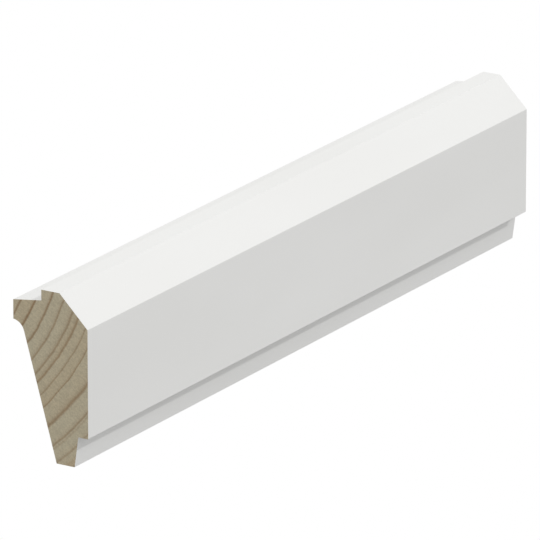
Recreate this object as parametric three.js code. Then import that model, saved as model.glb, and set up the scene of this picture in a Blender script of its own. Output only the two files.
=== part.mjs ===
// Shadow gap moulding: one length of planed softwood, painted white on the sides that show.
// A rebate beside each of its two bearing faces leaves a dark line where it meets the wall and the ceiling.
// Millimetres, +Z up. X runs from the wall out to the front face and Y along the moulding. The toe points down,
// as the piece is shown here. Fitted under a ceiling it is turned over, with the toe up.

import * as THREE from "three";

// Overall size
const THICKNESS = 21;
const HEIGHT = 43;
const LENGTH = 205;

// The lip's edge bears on the wall, and the toe's edge on the ceiling
const WALL_FACE = 4.9;
const CEILING_FACE = 5.1;

// The two rebates: width, depth at the closed side, and how much deeper each is at its open side
const WALL_GAP_WIDTH = 8;
const WALL_GAP_DEPTH = 2.7;
const CEILING_GAP_WIDTH = 7.75;
const CEILING_GAP_DEPTH = 2.8;
const GAP_FALL = 1.1;

// Bevel at 45 degrees on the front, lean of the sloping back, and the cove between back and lip
const BEVEL = 7.85;
const BACK_LEAN = THREE.MathUtils.degToRad(15.8);
const COVE_RADIUS = 3.4;

// Outer arrises are eased by a small arc, and each arc is cut into twice this many facets
const ARRIS_RADIUS = 0.3;
const ARC_STEPS = 6;

const PAINT = { color: 0xf0f0ee, roughness: 0.55, metalness: 0 };

// A point of the section: x from the wall plane, z from the ceiling plane.
const at = (x, z) => new THREE.Vector2(x, z);

// Centre of the cove: it touches the sloping back, which rises from the toe, and runs out at the lip's lower edge.
function coveCentre(toeEdge, lipEdge) {
  const upBack = at(-Math.sin(BACK_LEAN), Math.cos(BACK_LEAN));
  const outOfBack = at(-Math.cos(BACK_LEAN), -Math.sin(BACK_LEAN));
  const start = toeEdge.clone().addScaledVector(outOfBack, COVE_RADIUS);
  const toLip = lipEdge.clone().sub(start);
  const along = toLip.dot(upBack);
  const aside = toLip.cross(upBack);
  return start.addScaledVector(upBack, along - Math.sqrt(COVE_RADIUS ** 2 - aside ** 2));
}

// Adds an outer corner to the outline, eased by an arc that touches both of its sides.
function addArris(outline, before, corner, after) {
  const inward = corner.clone().sub(before).normalize();
  const onward = after.clone().sub(corner).normalize();
  const turn = inward.angleTo(onward);
  const start = corner.clone().addScaledVector(inward, -ARRIS_RADIUS * Math.tan(turn / 2));
  const centre = start.add(at(-inward.y, inward.x).multiplyScalar(ARRIS_RADIUS));
  const firstAngle = inward.angle() - Math.PI / 2;
  outline.absarc(centre.x, centre.y, ARRIS_RADIUS, firstAngle, firstAngle + turn, false);
}

// The section, anticlockwise from the toe's back edge.
function sectionShape() {
  const lipTop = at(0, HEIGHT - WALL_GAP_DEPTH - GAP_FALL);
  const lipBottom = at(0, lipTop.y - WALL_FACE);
  const wallGapCorner = at(WALL_GAP_WIDTH, HEIGHT - WALL_GAP_DEPTH);
  const stepBack = at(WALL_GAP_WIDTH, HEIGHT);
  const stepFront = at(THICKNESS - BEVEL, HEIGHT);
  const frontTop = at(THICKNESS, HEIGHT - BEVEL);
  const frontBottom = at(THICKNESS, CEILING_GAP_WIDTH);
  const ceilingGapCorner = at(THICKNESS - CEILING_GAP_DEPTH, CEILING_GAP_WIDTH);
  const toeFront = at(THICKNESS - CEILING_GAP_DEPTH - GAP_FALL, 0);
  const toeBack = at(toeFront.x - CEILING_FACE, 0);

  const cove = coveCentre(toeBack, lipBottom);
  const coveFirstAngle = lipBottom.clone().sub(cove).angle();
  const backTop = cove.clone().add(at(COVE_RADIUS, 0).rotateAround(at(0, 0), BACK_LEAN));

  const outline = new THREE.Shape();
  addArris(outline, backTop, toeBack, toeFront);
  addArris(outline, toeBack, toeFront, ceilingGapCorner);
  outline.lineTo(ceilingGapCorner.x, ceilingGapCorner.y);
  addArris(outline, ceilingGapCorner, frontBottom, frontTop);
  addArris(outline, frontBottom, frontTop, stepFront);
  addArris(outline, frontTop, stepFront, stepBack);
  addArris(outline, stepFront, stepBack, wallGapCorner);
  outline.lineTo(wallGapCorner.x, wallGapCorner.y);
  addArris(outline, wallGapCorner, lipTop, lipBottom);
  outline.lineTo(lipBottom.x, lipBottom.y);
  outline.absarc(cove.x, cove.y, COVE_RADIUS, coveFirstAngle, BACK_LEAN, true);
  return outline;
}

// The moulding is the section run along Y. Its origin is the middle of the face that bears on the wall.
function buildMoulding() {
  const geometry = new THREE.ExtrudeGeometry(sectionShape(), {
    depth: LENGTH,
    bevelEnabled: false,
    curveSegments: ARC_STEPS,
  });
  const moulding = new THREE.Mesh(geometry, new THREE.MeshStandardMaterial(PAINT));
  moulding.name = "moulding";
  moulding.rotation.x = Math.PI / 2;
  const wallFaceMiddle = HEIGHT - WALL_GAP_DEPTH - GAP_FALL - WALL_FACE / 2;
  moulding.position.set(0, LENGTH / 2, -wallFaceMiddle);
  return moulding;
}

const group = new THREE.Group();
group.name = "shadow_gap_moulding";
group.add(buildMoulding());

export default group;
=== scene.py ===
"""Looks of the shadow gap moulding: white paint where it shows, planed pine behind, sawn end grain.

One solid field of growth rings runs through the whole length, so the ends and the bare long faces agree.
Section sizes are in millimetres, with x from the wall plane and z from the toe's bearing face.
"""

import logging
import math
from dataclasses import dataclass
from enum import Enum

import bpy
from mathutils import Matrix, Vector


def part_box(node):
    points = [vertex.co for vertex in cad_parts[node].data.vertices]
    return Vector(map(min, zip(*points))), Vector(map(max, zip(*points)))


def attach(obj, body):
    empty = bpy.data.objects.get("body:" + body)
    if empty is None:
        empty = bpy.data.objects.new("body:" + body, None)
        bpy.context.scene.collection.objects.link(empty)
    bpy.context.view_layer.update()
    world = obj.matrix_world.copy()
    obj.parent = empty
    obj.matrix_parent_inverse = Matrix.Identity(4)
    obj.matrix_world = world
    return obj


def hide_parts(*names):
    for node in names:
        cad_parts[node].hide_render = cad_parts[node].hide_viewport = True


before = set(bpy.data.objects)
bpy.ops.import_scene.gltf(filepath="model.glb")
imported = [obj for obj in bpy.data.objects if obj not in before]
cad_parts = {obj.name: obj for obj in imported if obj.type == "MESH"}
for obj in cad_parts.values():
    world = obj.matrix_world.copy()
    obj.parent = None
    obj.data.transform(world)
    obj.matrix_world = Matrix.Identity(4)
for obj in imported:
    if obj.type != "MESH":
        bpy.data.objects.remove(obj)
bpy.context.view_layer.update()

MM = 0.001
NODE = "moulding"
BODY = "root"

Colour = tuple[float, float, float]
Socket = bpy.types.NodeSocket
Feed = float | tuple[float, ...] | Socket

log = logging.getLogger("shadow_gap_moulding")


class Finish(Enum):
    """The three surfaces of the moulding, in the order of its material slots."""

    PAINTED = 0
    PLANED = 1
    SAWN = 2


class NodeSketch:
    """A node tree being filled, with short ways to add the nodes that the finishes use."""

    def __init__(self, tree: bpy.types.NodeTree) -> None:
        """Takes the tree to fill."""
        self.tree = tree

    def feed(self, socket: Socket, value: Feed) -> None:
        """Links a socket to another one, or sets its own value."""
        if isinstance(value, bpy.types.NodeSocket):
            self.tree.links.new(value, socket)
        elif socket.type == "RGBA":
            socket.default_value = (*value, 1.0)
        else:
            socket.default_value = value

    def node(self, kind: str, inputs: dict[int | str, Feed], **settings: object) -> bpy.types.Node:
        """Adds a node.

        Args:
            kind: the node's type, such as ShaderNodeMath.
            inputs: what each input gets, by name or number: a value, or a socket to link.
            settings: the node's own settings, such as operation.

        Returns:
            The new node.
        """
        made = self.tree.nodes.new(kind)
        for name, setting in settings.items():
            setattr(made, name, setting)
        for key, value in inputs.items():
            self.feed(made.inputs[key], value)
        return made

    def math(self, operation: str, *values: Feed) -> Socket:
        """Combines numbers by a named operation and returns the result."""
        return self.node("ShaderNodeMath", dict(enumerate(values)), operation=operation).outputs[0]

    def spread(self, value: Feed, low: float, high: float, first: float = 0.0, last: float = 1.0) -> Socket:
        """Maps a number smoothly from one range to another, held at both ends.

        Args:
            value: the number.
            low: where the range starts.
            high: where the range ends.
            first: the result at low.
            last: the result at high.

        Returns:
            The mapped number.
        """
        inputs = {"Value": value, "From Min": low, "From Max": high, "To Min": first, "To Max": last}
        return self.node("ShaderNodeMapRange", inputs, interpolation_type="SMOOTHSTEP").outputs["Result"]

    def stretch(self, place: Socket, factors: tuple[float, float, float]) -> Socket:
        """Multiplies a place by one factor for each axis and returns the new place."""
        return self.node("ShaderNodeVectorMath", {0: place, 1: factors}, operation="MULTIPLY").outputs[0]

    def millimetres(self, place: Socket) -> Socket:
        """Gives a place in metres as millimetres."""
        return self.stretch(place, (1 / MM, 1 / MM, 1 / MM))

    def noise(self, place: Socket, lengths: tuple[float, float, float], detail: float = 2.0) -> Socket:
        """Adds soft noise around one half.

        Args:
            place: the place, in millimetres.
            lengths: the size of the noise's blotches along each axis, in millimetres.
            detail: how many finer layers it has.

        Returns:
            The noise, from 0 to 1.
        """
        inner = self.stretch(place, tuple(1 / length for length in lengths))
        inputs = {"Vector": inner, "Scale": 1.0, "Detail": detail}
        return self.node("ShaderNodeTexNoise", inputs).outputs["Fac"]

    def blend(self, share: Feed, below: Colour | Socket, above: Colour | Socket, way: str = "MIX") -> Socket:
        """Mixes two colours.

        Args:
            share: how much of the upper colour shows.
            below: the lower colour.
            above: the upper colour.
            way: how they mix, such as MIX or MULTIPLY.

        Returns:
            The mixed colour.
        """
        made = self.node("ShaderNodeMix", {}, data_type="RGBA", blend_type=way)
        wanted = {("Factor", "VALUE"): share, ("A", "RGBA"): below, ("B", "RGBA"): above}
        for socket in made.inputs:
            if (socket.name, socket.type) in wanted:
                self.feed(socket, wanted[socket.name, socket.type])
        return next(socket for socket in made.outputs if socket.type == "RGBA")

    def shade(self, colour: Socket, tone: Socket) -> Socket:
        """Darkens or lightens a colour by a tone around 1 and returns it."""
        grey = self.node("ShaderNodeCombineXYZ", {"X": tone, "Y": tone, "Z": tone}).outputs[0]
        return self.blend(1.0, colour, grey, "MULTIPLY")

    def bump(self, height: Socket, depth: float) -> Socket:
        """Turns a height from 0 to 1 into a normal.

        Args:
            height: the height.
            depth: what a height of 1 stands for, in millimetres.

        Returns:
            The normal.
        """
        return self.node("ShaderNodeBump", {"Height": height, "Distance": depth * MM}).outputs["Normal"]

    def surface(self, colour: Socket, roughness: Socket, normal: Socket, gloss: float) -> None:
        """Ends a material's tree in a shader.

        Args:
            colour: its base colour.
            roughness: its roughness.
            normal: its normal.
            gloss: its specular level, the same all over.
        """
        inputs = {"Base Color": colour, "Roughness": roughness, "Normal": normal, "Specular IOR Level": gloss}
        shader = self.node("ShaderNodeBsdfPrincipled", inputs)
        self.node("ShaderNodeOutputMaterial", {"Surface": shader.outputs["BSDF"]})


def new_group(
    name: str, inputs: dict[str, str], outputs: tuple[str, ...]
) -> tuple[NodeSketch, dict[str, Socket]]:
    """Starts a shader node group.

    Args:
        name: the group's name.
        inputs: the kind of each named input, Vector or Float.
        outputs: the names of the numbers that it puts out.

    Returns:
        The sketch of the group's tree, and its inputs by name.
    """
    tree = bpy.data.node_groups.new(name, "ShaderNodeTree")
    for socket, kind in inputs.items():
        tree.interface.new_socket(name=socket, in_out="INPUT", socket_type=f"NodeSocket{kind}")
    for socket in outputs:
        tree.interface.new_socket(name=socket, in_out="OUTPUT", socket_type="NodeSocketFloat")
    sketch = NodeSketch(tree)
    given = sketch.node("NodeGroupInput", {}).outputs
    return sketch, {name: given[name] for name in inputs}


def new_material(name: str) -> tuple[bpy.types.Material, NodeSketch, Socket]:
    """Starts a material with an empty tree.

    Args:
        name: the material's name.

    Returns:
        The material, the sketch of its tree, and the place on the piece in metres.
    """
    material = bpy.data.materials.new(name)
    material.use_nodes = True
    material.node_tree.nodes.clear()
    sketch = NodeSketch(material.node_tree)
    return material, sketch, sketch.node("ShaderNodeTexCoord", {}).outputs["Object"]


@dataclass(frozen=True)
class GrowthYear:
    """One year of the tree, from the dark line that starts it.

    Attributes:
        width: from that line to the next, in millimetres.
        darkness: of the line, from 0 to 1.
        warmth: how brown the wood after it is, from 0 to 1.
        fade: how far the brown before the line fades out towards the pith, in millimetres.
        breadth: of the line, against the board's usual one.
    """

    width: float
    darkness: float
    warmth: float
    fade: float = 1.1
    breadth: float = 1.0


@dataclass(frozen=True)
class PineBoard:
    """The pine that the moulding is milled from, as a solid field of growth rings round the pith.

    Attributes:
        near_end: Y of the near end.
        pith: X and Z of the pith at the near end. It lies outside the moulding.
        lean: how far the pith moves along X and Z for each millimetre along Y.
        first_line: radius of the innermost dark line.
        years: the years from that line outwards.
        line_rise: how far the dark line itself reaches towards the pith.
        line_edge: how far it reaches outwards.
        haze: the share of a line's darkness that is in the brown before it.
        ripen: how much browner the wood gets in the course of a year.
        waves: how far the rings wander, each over a length across and along the grain.
        blotch: how much the brown varies, over a length across and along the grain.
        ray: width, length and height of the rays, which cross the rings.
        fibre: thickness and length of the fibres.
    """

    near_end: float
    pith: tuple[float, float] = (-39.0, 25.25)
    lean: tuple[float, float] = (0.012, -0.008)
    first_line: float = 40.3
    years: tuple[GrowthYear, ...] = (
        GrowthYear(3.3, 0.70, 0.40),
        GrowthYear(3.6, 0.70, 0.40),
        GrowthYear(3.3, 0.66, 0.60, 0.6),
        GrowthYear(3.5, 0.80, 0.20, 0.9),
        GrowthYear(3.4, 0.69, 0.00, 1.0),
        GrowthYear(3.2, 0.57, 0.10, 1.4, 0.9),
        GrowthYear(1.8, 0.56, 0.50, 1.5),
        GrowthYear(2.7, 0.60, 0.30, 1.3),
        GrowthYear(2.6, 0.49, 0.55, 0.9, 0.65),
        GrowthYear(4.3, 0.57, 0.30, 0.8, 0.55),
        GrowthYear(4.4, 0.60, 0.00, 1.9, 1.5),
        GrowthYear(0.7, 0.54, 0.00, 1.5),
        GrowthYear(3.0, 0.26, 0.00, 0.4),
        GrowthYear(1.5, 0.44, 0.25, 1.4),
        GrowthYear(2.4, 0.00, 1.70),
        GrowthYear(3.5, 0.60, 1.00, 2.8),
    )
    line_rise: float = 0.5
    line_edge: float = 0.45
    haze: float = 0.38
    ripen: float = 0.2
    waves: tuple[tuple[float, float, float], ...] = ((1.1, 11.0, 140.0), (0.35, 2.4, 40.0), (0.16, 0.9, 16.0))
    blotch: tuple[float, float, float] = (0.5, 4.0, 60.0)
    ray: tuple[float, float, float] = (0.4, 1.6, 5.0)
    fibre: tuple[float, float] = (0.22, 16.0)

    def swing(self, sketch: NodeSketch, place: Socket, reach: float, across: float, along: float) -> Socket:
        """Noise about zero, drawn out along the grain.

        Args:
            sketch: the tree to add to.
            place: the place in millimetres.
            reach: the whole range of the noise.
            across: its length across the grain.
            along: its length along the grain.

        Returns:
            The noise.
        """
        noise = sketch.noise(place, (across, along, across))
        return sketch.math("MULTIPLY_ADD", noise, reach, -reach / 2)

    def grain_group(self) -> bpy.types.NodeTree:
        """Builds the group that gives the wood at any place on the piece.

        Returns:
            A group with the outputs Latewood, the dark lines; Warmth, how brown the wood between them is;
            Rays, fine streaks that cross the rings; and Fibre, fine streaks along the length.
        """
        outputs = ("Latewood", "Warmth", "Rays", "Fibre")
        sketch, inputs = new_group("pine_grain", {"Place": "Vector"}, outputs)
        place = sketch.millimetres(inputs["Place"])
        axes = sketch.node("ShaderNodeSeparateXYZ", {0: place}).outputs
        run = sketch.math("SUBTRACT", axes["Y"], self.near_end)
        legs = []
        for axis, start, lean in zip("XZ", self.pith, self.lean):
            legs.append(sketch.math("SUBTRACT", axes[axis], sketch.math("MULTIPLY_ADD", run, lean, start)))
        rise = sketch.math("POWER", legs[1], 2.0)
        circle = sketch.math("SQRT", sketch.math("MULTIPLY_ADD", legs[0], legs[0], rise))
        radius = circle
        for wave in self.waves:
            radius = sketch.math("ADD", radius, self.swing(sketch, place, *wave))

        latewood: Feed = 0.0
        season: Feed = 0.0
        warmth = self.swing(sketch, place, *self.blotch)
        line = self.first_line
        before = 0.0
        for year in self.years:
            inward = self.line_rise * year.breadth
            outward = self.line_edge * year.breadth
            core = sketch.spread(radius, line - inward, line, 0.0, year.darkness * (1.0 - self.haze))
            brown = sketch.spread(radius, line - year.fade, line, 0.0, year.darkness * self.haze)
            outer = sketch.spread(radius, line, line + outward, 1.0, 0.0)
            dark = sketch.math("MULTIPLY", sketch.math("ADD", core, brown), outer)
            latewood = sketch.math("MAXIMUM", latewood, dark)
            step = sketch.spread(radius, line, line + outward, 0.0, year.warmth - before)
            warmth = sketch.math("ADD", warmth, step)
            span = {"Value": radius, "From Min": line, "From Max": line + year.width}
            season = sketch.math("ADD", season, sketch.node("ShaderNodeMapRange", span).outputs["Result"])
            line += year.width
            before = year.warmth

        thickness, length = self.fibre
        middle = (self.first_line + line) / 2
        arc = sketch.math("MULTIPLY", sketch.math("ARCTAN2", legs[1], legs[0]), middle)
        fan = sketch.node("ShaderNodeCombineXYZ", {"X": arc, "Y": circle, "Z": axes["Y"]}).outputs[0]
        results = (
            latewood,
            sketch.math("MULTIPLY_ADD", sketch.math("FRACT", season), self.ripen, warmth),
            sketch.noise(fan, self.ray),
            sketch.noise(place, (thickness, length, thickness)),
        )
        sketch.node("NodeGroupOutput", dict(zip(outputs, results)))
        return sketch.tree


@dataclass(frozen=True)
class CutterMarks:
    """The faint even waves that a planer or a saw leaves.

    Attributes:
        patch: the size of the patches in which the waves are stronger or weaker, in millimetres.
        slip: how far a wave strays from its place, in turns.
    """

    patch: float = 9.0
    slip: float = 0.9

    def group(self) -> bpy.types.NodeTree:
        """Builds the group that gives the waves.

        Returns:
            A group with the inputs Place, Travel, the distance along the cut in millimetres, and Pitch, from
            one wave to the next, and with the output Height.
        """
        kinds = {"Place": "Vector", "Travel": "Float", "Pitch": "Float"}
        sketch, inputs = new_group("cutter_marks", kinds, ("Height",))
        patches = sketch.noise(sketch.millimetres(inputs["Place"]), (self.patch, self.patch, self.patch))
        turns = sketch.math("DIVIDE", inputs["Travel"], inputs["Pitch"])
        strayed = sketch.math("MULTIPLY_ADD", patches, self.slip, turns)
        swing = sketch.math("COSINE", sketch.math("MULTIPLY", strayed, math.tau))
        wave = sketch.math("MULTIPLY_ADD", swing, 0.5, 0.5)
        sketch.node("NodeGroupOutput", {"Height": sketch.math("MULTIPLY", wave, patches)})
        return sketch.tree


@dataclass(frozen=True)
class SharedGrain:
    """The node groups that the three finishes share.

    Attributes:
        wood: the growth rings, rays and fibres.
        marks: the cutter's waves.
    """

    wood: bpy.types.NodeTree
    marks: bpy.types.NodeTree

    def add_wood(self, sketch: NodeSketch, place: Socket) -> bpy.types.NodeOutputs:
        """Puts the wood's group in a material and returns its outputs."""
        return sketch.node("ShaderNodeGroup", {"Place": place}, node_tree=self.wood).outputs

    def add_marks(self, sketch: NodeSketch, place: Socket, travel: Socket, pitch: float) -> Socket:
        """Puts the cutter's group in a material.

        Args:
            sketch: the material's tree.
            place: the place in metres.
            travel: the distance along the cut in millimetres.
            pitch: from one wave to the next in millimetres.

        Returns:
            The height of the waves.
        """
        inputs = {"Place": place, "Travel": travel, "Pitch": pitch}
        return sketch.node("ShaderNodeGroup", inputs, node_tree=self.marks).outputs["Height"]


@dataclass(frozen=True)
class WhitePaint:
    """Sprayed white paint of low sheen.

    Attributes:
        light: the film's colour where it lies thick.
        thin: its colour where it lies thin.
        sheen: its roughness, from the smoothest patch to the dullest.
        gloss: its specular level.
        cloud: width and length of the patches in colour and sheen, in millimetres.
        cloud_span: the part of the patches' noise over which the film goes from thin to thick.
        dull_span: the part of their noise over which it goes from the smoothest to the dullest.
        peel: the size of the film's fine dimples, in millimetres.
        peel_dulls: how much the dimples add to the dullness.
        ring_lift: how far the dark lines show through the film, beside the dimples.
        planer_pitch: of the planer's marks under the film, in millimetres.
        planer_lift: how far those marks show through it, beside the dimples.
        relief: how deep the dimples are, in millimetres.
    """

    light: Colour = (0.868, 0.868, 0.853)
    thin: Colour = (0.850, 0.849, 0.832)
    sheen: tuple[float, float] = (0.66, 0.78)
    gloss: float = 0.3
    cloud: tuple[float, float] = (26.0, 78.0)
    cloud_span: tuple[float, float] = (0.3, 0.7)
    dull_span: tuple[float, float] = (0.4, 0.9)
    peel: float = 1.1
    peel_dulls: float = 0.3
    ring_lift: float = 0.25
    planer_pitch: float = 1.9
    planer_lift: float = 0.2
    relief: float = 0.006

    def material(self, shared: SharedGrain) -> bpy.types.Material:
        """Builds the material.

        Args:
            shared: the node groups of wood and cutter marks.

        Returns:
            The material.
        """
        material, sketch, place = new_material("white_paint")
        spot = sketch.millimetres(place)
        wood = shared.add_wood(sketch, place)
        length = sketch.node("ShaderNodeSeparateXYZ", {0: spot}).outputs["Y"]
        marks = shared.add_marks(sketch, place, length, self.planer_pitch)
        width, run = self.cloud
        clouds = sketch.noise(spot, (width, run, width))
        dimples = sketch.noise(spot, (self.peel, self.peel, self.peel))
        colour = sketch.blend(sketch.spread(clouds, *self.cloud_span), self.thin, self.light)
        dullness = sketch.math("MULTIPLY_ADD", dimples, self.peel_dulls, clouds)
        roughness = sketch.spread(dullness, *self.dull_span, *self.sheen)
        raised = sketch.math("MULTIPLY_ADD", wood["Latewood"], self.ring_lift, dimples)
        height = sketch.math("MULTIPLY_ADD", marks, self.planer_lift, raised)
        sketch.surface(colour, roughness, sketch.bump(height, self.relief), self.gloss)
        return material


@dataclass(frozen=True)
class PlanedPine:
    """Bare pine planed along the grain, with a little stray paint near the painted edges.

    Attributes:
        early: the palest and the brownest wood between the dark lines.
        late: the dark lines.
        paint: the stray paint.
        sheen: roughness of the dark lines and of the wood between them.
        gloss: its specular level.
        fibre_span: the part of the fibres' noise over which they go from dark to light.
        fibre_tone: the tone of the darkest and of the lightest fibres.
        ring_lift: how far the dark lines stand out, beside the fibres.
        planer_pitch: of the planer's marks, in millimetres.
        planer_lift: how far those marks stand out, beside the fibres.
        relief: how deep the fibres are, in millimetres.
        fleck: width and length of the specks of stray paint, in millimetres.
        fleck_span: the part of the specks' noise over which they go from bare wood to paint.
        fleck_gain: how much the nearness of a painted edge adds to that noise.
        toe_reach: X at which the specks on the toe start and are thickest, in millimetres.
        lip_reach: Z at which the specks on the wall face start and are thickest, in millimetres.
    """

    early: tuple[Colour, Colour] = ((0.70, 0.565, 0.375), (0.63, 0.48, 0.29))
    late: Colour = (0.42, 0.255, 0.12)
    paint: Colour = (0.86, 0.86, 0.845)
    sheen: tuple[float, float] = (0.5, 0.68)
    gloss: float = 0.4
    fibre_span: tuple[float, float] = (0.25, 0.75)
    fibre_tone: tuple[float, float] = (0.86, 1.08)
    ring_lift: float = 0.5
    planer_pitch: float = 1.9
    planer_lift: float = 0.35
    relief: float = 0.02
    fleck: tuple[float, float] = (0.35, 1.4)
    fleck_span: tuple[float, float] = (0.72, 0.84)
    fleck_gain: float = 0.3
    toe_reach: tuple[float, float] = (14.0, 17.0)
    lip_reach: tuple[float, float] = (-0.3, 2.4)

    def material(self, shared: SharedGrain) -> bpy.types.Material:
        """Builds the material.

        Args:
            shared: the node groups of wood and cutter marks.

        Returns:
            The material.
        """
        material, sketch, place = new_material("planed_pine")
        spot = sketch.millimetres(place)
        axes = sketch.node("ShaderNodeSeparateXYZ", {0: spot}).outputs
        wood = shared.add_wood(sketch, place)
        marks = shared.add_marks(sketch, place, axes["Y"], self.planer_pitch)
        early = sketch.blend(wood["Warmth"], *self.early)
        rings = sketch.blend(wood["Latewood"], early, self.late)
        timber = sketch.shade(rings, sketch.spread(wood["Fibre"], *self.fibre_span, *self.fibre_tone))
        near_edge = sketch.math(
            "MAXIMUM",
            sketch.spread(axes["X"], *self.toe_reach),
            sketch.spread(axes["Z"], *self.lip_reach),
        )
        width, length = self.fleck
        flecks = sketch.noise(spot, (width, length, width))
        thick = sketch.math("MULTIPLY_ADD", near_edge, self.fleck_gain, flecks)
        colour = sketch.blend(sketch.spread(thick, *self.fleck_span), timber, self.paint)
        roughness = sketch.spread(wood["Latewood"], 0.0, 1.0, self.sheen[1], self.sheen[0])
        ridged = sketch.math("MULTIPLY_ADD", wood["Latewood"], self.ring_lift, wood["Fibre"])
        height = sketch.math("MULTIPLY_ADD", marks, self.planer_lift, ridged)
        sketch.surface(colour, roughness, sketch.bump(height, self.relief), self.gloss)
        return material


@dataclass(frozen=True)
class SawnEndGrain:
    """Pine sawn square across the grain.

    Attributes:
        early: the palest and the brownest wood between the dark lines.
        late: the dark lines.
        sheen: roughness of the dark lines and of the wood between them.
        gloss: its specular level.
        pore: the size of the specks between the lines, in millimetres.
        ray_share: the share of the rays in the fine tone. The rest is the specks'.
        tone_span: the part of that tone's noise over which it goes from dark to light.
        tone: the darkest and the lightest tone.
        ring_lift: how far the dark lines stand out, beside the specks.
        saw_axis: X and Z of the saw blade's axis, in millimetres.
        saw_pitch: from one arc of the saw to the next, in millimetres.
        saw_lift: how far those arcs stand out, beside the specks.
        relief: how deep the specks are, in millimetres.
    """

    early: tuple[Colour, Colour] = ((0.563, 0.504, 0.364), (0.538, 0.446, 0.298))
    late: Colour = (0.262, 0.150, 0.068)
    sheen: tuple[float, float] = (0.72, 0.86)
    gloss: float = 0.25
    pore: float = 0.4
    ray_share: float = 0.4
    tone_span: tuple[float, float] = (0.3, 0.7)
    tone: tuple[float, float] = (0.88, 1.12)
    ring_lift: float = 0.6
    saw_axis: tuple[float, float] = (96.0, 60.0)
    saw_pitch: float = 0.8
    saw_lift: float = 0.5
    relief: float = 0.03

    def material(self, shared: SharedGrain) -> bpy.types.Material:
        """Builds the material.

        Args:
            shared: the node groups of wood and cutter marks.

        Returns:
            The material.
        """
        material, sketch, place = new_material("sawn_end_grain")
        spot = sketch.millimetres(place)
        axes = sketch.node("ShaderNodeSeparateXYZ", {0: spot}).outputs
        wood = shared.add_wood(sketch, place)
        legs = [sketch.math("SUBTRACT", axes[axis], centre) for axis, centre in zip("XZ", self.saw_axis)]
        rise = sketch.math("POWER", legs[1], 2.0)
        travel = sketch.math("SQRT", sketch.math("MULTIPLY_ADD", legs[0], legs[0], rise))
        marks = shared.add_marks(sketch, place, travel, self.saw_pitch)
        pores = sketch.noise(spot, (self.pore, self.pore, self.pore))
        early = sketch.blend(wood["Warmth"], *self.early)
        rings = sketch.blend(wood["Latewood"], early, self.late)
        specks = sketch.math("MULTIPLY", pores, 1.0 - self.ray_share)
        fine = sketch.math("MULTIPLY_ADD", wood["Rays"], self.ray_share, specks)
        colour = sketch.shade(rings, sketch.spread(fine, *self.tone_span, *self.tone))
        roughness = sketch.spread(wood["Latewood"], 0.0, 1.0, self.sheen[1], self.sheen[0])
        ridged = sketch.math("MULTIPLY_ADD", wood["Latewood"], self.ring_lift, pores)
        height = sketch.math("MULTIPLY_ADD", marks, self.saw_lift, ridged)
        sketch.surface(colour, roughness, sketch.bump(height, self.relief), self.gloss)
        return material


@dataclass(frozen=True)
class Strip:
    """A narrow band of the section's outline, with the outline running anticlockwise.

    Attributes:
        start: its first edge, in millimetres of the section.
        end: its last edge.
        start_normal: the way out of the wood at the first edge.
        end_normal: the same at the last edge.
        finish: the surface that it wears.
        ragged: its first edge is where paint ends, so it wanders along the length.
    """

    start: Vector
    end: Vector
    start_normal: Vector
    end_normal: Vector
    finish: Finish
    ragged: bool = False


class SectionPencil:
    """Draws the section's outline as a chain of strips."""

    def __init__(self, arris: float, arris_steps: int, widest: float) -> None:
        """Starts with no strips.

        Args:
            arris: radius of the eased outer corners.
            arris_steps: how many strips each of them has.
            widest: the widest strip of a flat face.
        """
        self.arris = arris
        self.arris_steps = arris_steps
        self.widest = widest
        self.strips: list[Strip] = []
        self.point: Vector | None = None

    def line(self, end: Vector, finish: Finish, ragged: bool = False) -> None:
        """Draws a flat face.

        Args:
            end: where it ends.
            finish: the surface that it wears.
            ragged: paint ends where it starts.
        """
        way = end - self.point
        out = Vector((way.y, -way.x)).normalized()
        count = max(1, math.ceil(way.length / self.widest))
        first = self.point
        for step in range(count):
            start = first + way * (step / count)
            stop = first + way * ((step + 1) / count)
            self.strips.append(Strip(start, stop, out, out, finish, ragged and step == 0))
        self.point = end

    def arc(self, centre: Vector, first: float, turn: float, steps: int, finish: Finish) -> None:
        """Draws a round face about a centre: an outer one where it turns anticlockwise, else a hollow.

        Args:
            centre: its centre.
            first: the angle at which it starts.
            turn: the angle that it turns through.
            steps: how many strips it has.
            finish: the surface that it wears.
        """
        radius = (self.point - centre).length
        side = math.copysign(1.0, turn)
        spokes = []
        for step in range(steps + 1):
            angle = first + turn * step / steps
            spokes.append(Vector((math.cos(angle), math.sin(angle))))
        for before, after in zip(spokes, spokes[1:]):
            start = centre + before * radius
            end = centre + after * radius
            self.strips.append(Strip(start, end, before * side, after * side, finish))
        self.point = centre + spokes[-1] * radius

    def corner(
        self, before: Vector, corner: Vector, after: Vector, face: Finish, ragged: bool = False
    ) -> None:
        """Draws a flat face up to an outer corner and eases the corner.

        Args:
            before: a point on the face before the corner.
            corner: the corner, as if it were sharp.
            after: a point on the face behind it.
            face: the surface that the flat face and the corner wear.
            ragged: paint ends where the flat face starts.
        """
        inward = (corner - before).normalized()
        onward = (after - corner).normalized()
        turn = math.atan2(inward.x * onward.y - inward.y * onward.x, inward.dot(onward))
        start = corner - inward * (self.arris * math.tan(turn / 2))
        if self.point is None:
            self.point = start
        else:
            self.line(start, face, ragged)
        centre = start + Vector((-inward.y, inward.x)) * self.arris
        self.arc(centre, math.atan2(-inward.x, inward.y), turn, self.arris_steps, face)


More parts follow.
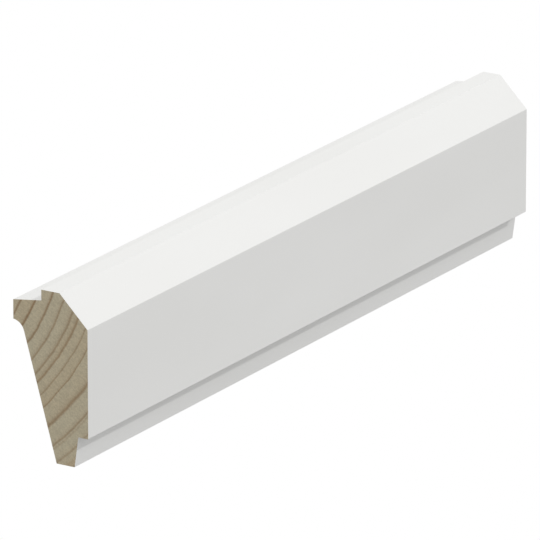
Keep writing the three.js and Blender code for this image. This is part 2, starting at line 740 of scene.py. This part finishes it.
class Skin:
    """The faces of the mesh, with the finish of each and what each of their corners needs."""

    def __init__(self) -> None:
        """Starts with no faces."""
        self.faces: list[tuple[int, ...]] = []
        self.slots: list[int] = []
        self.normals: list[Vector] = []
        self.charts: list[tuple[float, float]] = []

    def add(self, face: tuple[int, ...], finish: Finish) -> None:
        """Adds a face by the numbers of its points."""
        self.faces.append(face)
        self.slots.append(finish.value)

    def add_corner(self, normal: tuple[float, float, float], chart: tuple[float, float]) -> None:
        """Adds what the next corner needs: its normal, and its spot on the chart of finishes."""
        self.normals.append(Vector(normal))
        self.charts.append(chart)


@dataclass(frozen=True)
class ShadowGapMoulding:
    """One length of the milled pine, painted on the sides that show.

    Attributes:
        low: lowest corner of its box, in metres.
        high: highest corner of its box, in metres.
        wall_face: height of the lip's face, which bears on the wall.
        ceiling_face: width of the toe's face, which bears on the ceiling.
        wall_gap: width and depth of the rebate beside the wall face.
        ceiling_gap: width and depth of the rebate beside the ceiling face.
        gap_fall: how much deeper each rebate is at its open side.
        bevel: size of the bevel at 45 degrees.
        back_lean: lean of the back, in degrees.
        cove: radius of the hollow between back and lip.
        cove_steps: how many strips it has.
        arris: radius of the eased outer corners.
        arris_steps: how many strips each of them has.
        widest: the widest strip of a flat face.
        station: distance between the rings of points along the length.
        overlap: how far the paint laps onto the two bearing faces.
        brush: reach and length of the waves in the paint's edge there.
        map_size: side of the square that the finishes are laid out on, in steps.
        map_gap: room between the patches on it.
        map_fine: steps for each millimetre across the bare faces.
        map_plain: the same across the painted faces.
        map_end: the same on the ends.
    """

    low: Vector
    high: Vector
    wall_face: float = 4.9
    ceiling_face: float = 5.1
    wall_gap: tuple[float, float] = (8.0, 2.7)
    ceiling_gap: tuple[float, float] = (7.75, 2.8)
    gap_fall: float = 1.1
    bevel: float = 7.85
    back_lean: float = 15.8
    cove: float = 3.4
    cove_steps: int = 14
    arris: float = 0.12
    arris_steps: int = 4
    widest: float = 3.0
    station: float = 1.0
    overlap: float = 0.7
    brush: tuple[tuple[float, float], ...] = ((0.11, 37.0), (0.08, 12.7), (0.05, 5.3), (0.03, 2.9))
    map_size: float = 1024.0
    map_gap: float = 8.0
    map_fine: float = 6.0
    map_plain: float = 2.0
    map_end: float = 13.0

    def section(self) -> list[Strip]:
        """Draws the section.

        Returns:
            Its strips, anticlockwise from the toe's back edge.
        """
        thickness = (self.high.x - self.low.x) / MM
        height = (self.high.z - self.low.z) / MM
        lip_top = Vector((0.0, height - self.wall_gap[1] - self.gap_fall))
        lip_bottom = lip_top - Vector((0.0, self.wall_face))
        wall_gap_corner = Vector((self.wall_gap[0], height - self.wall_gap[1]))
        step_back = Vector((self.wall_gap[0], height))
        step_front = Vector((thickness - self.bevel, height))
        front_top = Vector((thickness, height - self.bevel))
        front_bottom = Vector((thickness, self.ceiling_gap[0]))
        ceiling_gap_corner = Vector((thickness - self.ceiling_gap[1], self.ceiling_gap[0]))
        toe_front = Vector((ceiling_gap_corner.x - self.gap_fall, 0.0))
        toe_back = Vector((toe_front.x - self.ceiling_face, 0.0))

        lean = math.radians(self.back_lean)
        up_back = Vector((-math.sin(lean), math.cos(lean)))
        out_back = Vector((-math.cos(lean), -math.sin(lean)))
        foot = toe_back + out_back * self.cove
        to_lip = lip_bottom - foot
        aside = to_lip.x * up_back.y - to_lip.y * up_back.x
        centre = foot + up_back * (to_lip.dot(up_back) - math.sqrt(self.cove**2 - aside**2))
        back_top = centre - out_back * self.cove
        first = math.atan2(lip_bottom.y - centre.y, lip_bottom.x - centre.x)

        pencil = SectionPencil(self.arris, self.arris_steps, self.widest)
        pencil.corner(back_top, toe_back, toe_front, Finish.PLANED)
        pencil.line(toe_front - Vector((self.overlap + self.arris, 0.0)), Finish.PLANED)
        pencil.corner(toe_back, toe_front, ceiling_gap_corner, Finish.PAINTED, ragged=True)
        pencil.line(ceiling_gap_corner, Finish.PAINTED)
        pencil.corner(ceiling_gap_corner, front_bottom, front_top, Finish.PAINTED)
        pencil.corner(front_bottom, front_top, step_front, Finish.PAINTED)
        pencil.corner(front_top, step_front, step_back, Finish.PAINTED)
        pencil.corner(step_front, step_back, wall_gap_corner, Finish.PAINTED)
        pencil.line(wall_gap_corner, Finish.PAINTED)
        pencil.corner(wall_gap_corner, lip_top, lip_bottom, Finish.PAINTED)
        pencil.line(lip_top - Vector((0.0, self.overlap + self.arris)), Finish.PAINTED)
        pencil.line(lip_bottom, Finish.PLANED, ragged=True)
        pencil.arc(centre, first, lean - first, self.cove_steps, Finish.PLANED)
        pencil.line(pencil.strips[0].start, Finish.PLANED)
        return pencil.strips

    def stray(self, y: float, phase: float) -> float:
        """How far the paint's edge wanders at a place along the length.

        Args:
            y: the place.
            phase: shifts the waves, so that two edges differ.

        Returns:
            The distance along the outline.
        """
        return sum(reach * math.sin(math.tau * y / length + phase * length) for reach, length in self.brush)

    def rings(self, strips: list[Strip]) -> list[list[Vector]]:
        """Places the points of the mesh.

        Args:
            strips: the section's strips.

        Returns:
            One ring of points for each place along the length, in metres.
        """
        near, far = self.low.y / MM, self.high.y / MM
        count = round((far - near) / self.station)
        rings = []
        for step in range(count + 1):
            y = near + (far - near) * step / count
            ring = []
            for number, strip in enumerate(strips):
                spot = strip.start
                if strip.ragged:
                    spot = spot + (strip.end - strip.start).normalized() * self.stray(y, float(number))
                ring.append(Vector((self.low.x + spot.x * MM, y * MM, self.low.z + spot.y * MM)))
            rings.append(ring)
        return rings

    def cover_sides(self, skin: Skin, strips: list[Strip], last: int) -> float:
        """Adds the long faces.

        Args:
            skin: takes the faces.
            strips: the section's strips.
            last: number of the last ring of points.

        Returns:
            How far up the chart of finishes they reach, in steps.
        """
        around = len(strips)
        room = self.map_size - 2 * self.map_gap
        heights = [self.map_gap]
        for strip in strips:
            scale = self.map_plain if strip.finish is Finish.PAINTED else self.map_fine
            heights.append(heights[-1] + (strip.end - strip.start).length * scale)
        for row in range(last):
            for number, strip in enumerate(strips):
                behind = (number + 1) % around
                corners = ((row, number), (row + 1, number), (row + 1, behind), (row, behind))
                skin.add(tuple(ring * around + place for ring, place in corners), strip.finish)
                for (ring, _), edge in zip(corners, (0, 0, 1, 1)):
                    flat = strip.end_normal if edge else strip.start_normal
                    spot = (self.map_gap + room * ring / last, heights[number + edge])
                    skin.add_corner((flat.x, 0.0, flat.y), spot)
        return heights[-1]

    def cover_ends(self, skin: Skin, rings: list[list[Vector]], bottom: float) -> None:
        """Adds the two sawn ends.

        Args:
            skin: takes the faces.
            rings: the points of the mesh.
            bottom: where the ends start on the chart of finishes, in steps.
        """
        around = len(rings[0])
        last = len(rings) - 1
        scale = self.map_end / MM
        shift = (self.high.x - self.low.x) * scale + self.map_gap
        for ring, way, left in ((0, -1.0, self.map_gap), (last, 1.0, self.map_gap + shift)):
            order = range(around) if way < 0 else range(around - 1, -1, -1)
            skin.add(tuple(ring * around + place for place in order), Finish.SAWN)
            for place in order:
                point = rings[ring][place]
                spot = (left + (point.x - self.low.x) * scale, bottom + (point.z - self.low.z) * scale)
                skin.add_corner((0.0, way, 0.0), spot)

    def build(self, materials: dict[Finish, bpy.types.Material]) -> bpy.types.Object:
        """Builds the piece as one closed mesh.

        Args:
            materials: the material of each finish.

        Returns:
            The new object.
        """
        strips = self.section()
        rings = self.rings(strips)
        skin = Skin()
        top = self.cover_sides(skin, strips, len(rings) - 1)
        self.cover_ends(skin, rings, top + self.map_gap)

        mesh = bpy.data.meshes.new("painted_moulding")
        mesh.from_pydata([point for ring in rings for point in ring], [], skin.faces)
        for finish in Finish:
            mesh.materials.append(materials[finish])
        mesh.polygons.foreach_set("material_index", skin.slots)
        mesh.polygons.foreach_set("use_smooth", [True] * len(skin.faces))
        chart = mesh.uv_layers.new(name="OFBake")
        chart.uv.foreach_set("vector", [step / self.map_size for spot in skin.charts for step in spot])
        mesh.update()
        mesh.normals_split_custom_set(skin.normals)
        piece = bpy.data.objects.new("painted_moulding", mesh)
        bpy.context.scene.collection.objects.link(piece)
        return piece


@dataclass(frozen=True)
class Studio:
    """A white floor and sky, an even light from all round, one lamp for the shadow lines, and the camera.

    Attributes:
        floor_drop: from the moulding's lowest point down to the floor, in metres.
        floor_size: side of the floor, in metres.
        floor_tone: how much light the floor sends back.
        sky: brightness of the light from all round.
        lamp_from: the way towards the lamp.
        lamp_power: its strength.
        lamp_spread: the angle that the lamp fills, in degrees, which softens its shadows.
        target: the point at the middle of the picture, in metres.
        azimuth: the camera's turn about the upright axis, in degrees.
        elevation: its height above the horizon, in degrees.
        distance: from the target to the camera, in metres.
        lens: focal length in millimetres.
        sensor: width of the picture's sensor, in millimetres.
        reach: the camera sees nothing beyond this, in metres.
    """

    floor_drop: float = 0.2
    floor_size: float = 8.0
    floor_tone: Colour = (0.371, 0.371, 0.371)
    sky: float = 0.835
    lamp_from: tuple[float, float, float] = (0.51, 0.67, 0.54)
    lamp_power: float = 0.95
    lamp_spread: float = 0.3
    target: tuple[float, float, float] = (0.01068, -0.00423, -0.01622)
    azimuth: float = 31.9
    elevation: float = 18.45
    distance: float = 2.3476
    lens: float = 636.6
    sensor: float = 36.0
    reach: float = 100.0

    def white_to_camera(self, tree: bpy.types.NodeTree, shader: str, other: Socket, ending: str) -> None:
        """Ends a tree so that the camera sees plain white and the object is lit by another shader.

        Args:
            tree: the tree.
            shader: the kind of node that gives the white.
            other: the shader that lights the object.
            ending: the kind of the output node.
        """
        sketch = NodeSketch(tree)
        seen = sketch.node("ShaderNodeLightPath", {}).outputs["Is Camera Ray"]
        white = sketch.node(shader, {"Color": (1.0, 1.0, 1.0), "Strength": 1.0}).outputs[0]
        mixed = sketch.node("ShaderNodeMixShader", {0: seen, 1: other, 2: white}).outputs[0]
        sketch.node(ending, {"Surface": mixed})

    def lay_floor(self, lowest: float) -> bpy.types.Object:
        """Lays the floor below the moulding.

        Args:
            lowest: Z of the moulding's lowest point.

        Returns:
            The floor.
        """
        half = self.floor_size / 2
        level = lowest - self.floor_drop
        corners = [(-half, -half, level), (half, -half, level), (half, half, level), (-half, half, level)]
        mesh = bpy.data.meshes.new("studio_floor")
        mesh.from_pydata(corners, [], [(0, 1, 2, 3)])
        material, sketch, _ = new_material("studio_floor")
        pale = sketch.node("ShaderNodeBsdfDiffuse", {"Color": self.floor_tone}).outputs[0]
        self.white_to_camera(material.node_tree, "ShaderNodeEmission", pale, "ShaderNodeOutputMaterial")
        mesh.materials.append(material)
        floor = bpy.data.objects.new("studio_floor", mesh)
        bpy.context.scene.collection.objects.link(floor)
        return floor

    def hang_sky(self) -> None:
        """Sets the even light from all round."""
        world = bpy.data.worlds.new("studio_sky")
        world.use_nodes = True
        world.node_tree.nodes.clear()
        sketch = NodeSketch(world.node_tree)
        soft = {"Color": (1.0, 1.0, 1.0), "Strength": self.sky}
        other = sketch.node("ShaderNodeBackground", soft).outputs[0]
        self.white_to_camera(world.node_tree, "ShaderNodeBackground", other, "ShaderNodeOutputWorld")
        bpy.context.scene.world = world

    def hang_lamp(self) -> None:
        """Hangs the lamp that draws the shadow lines in the two rebates."""
        data = bpy.data.lights.new("studio_lamp", "SUN")
        data.energy = self.lamp_power
        data.angle = math.radians(self.lamp_spread)
        lamp = bpy.data.objects.new("studio_lamp", data)
        lamp.rotation_mode = "QUATERNION"
        lamp.rotation_quaternion = Vector(self.lamp_from).to_track_quat("Z", "Y")
        bpy.context.scene.collection.objects.link(lamp)

    def set_camera(self) -> None:
        """Sets the camera at the photograph's angle and leaves colours as they are lit."""
        turn, tilt = math.radians(self.azimuth), math.radians(self.elevation)
        right = Vector((math.cos(turn), math.sin(turn), 0.0))
        back = Vector((math.sin(turn) * math.cos(tilt), -math.cos(turn) * math.cos(tilt), math.sin(tilt)))
        data = bpy.data.cameras.new("studio_camera")
        data.lens = self.lens
        data.sensor_width = self.sensor
        data.clip_end = self.reach
        camera = bpy.data.objects.new("studio_camera", data)
        camera.rotation_mode = "QUATERNION"
        camera.rotation_quaternion = Matrix((right, back.cross(right), back)).transposed().to_quaternion()
        camera.location = Vector(self.target) + back * self.distance
        bpy.context.scene.collection.objects.link(camera)
        bpy.context.scene.camera = camera
        bpy.context.scene.view_settings.view_transform = "Standard"


def main() -> None:
    """Builds the moulding and the studio round it, and reports each piece."""
    logging.basicConfig(level=logging.INFO, format="%(name)s: %(message)s")
    low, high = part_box(NODE)
    studio = Studio()
    studio.lay_floor(low.z)
    studio.hang_sky()
    studio.hang_lamp()
    studio.set_camera()
    log.info("studio set")

    shared = SharedGrain(PineBoard(low.y / MM).grain_group(), CutterMarks().group())
    materials = {
        Finish.PAINTED: WhitePaint().material(shared),
        Finish.PLANED: PlanedPine().material(shared),
        Finish.SAWN: SawnEndGrain().material(shared),
    }
    piece = ShadowGapMoulding(low, high).build(materials)
    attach(piece, BODY)
    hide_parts(NODE)
    log.info("%s: %d faces", piece.name, len(piece.data.polygons))


if __name__ == "__main__":
    main()
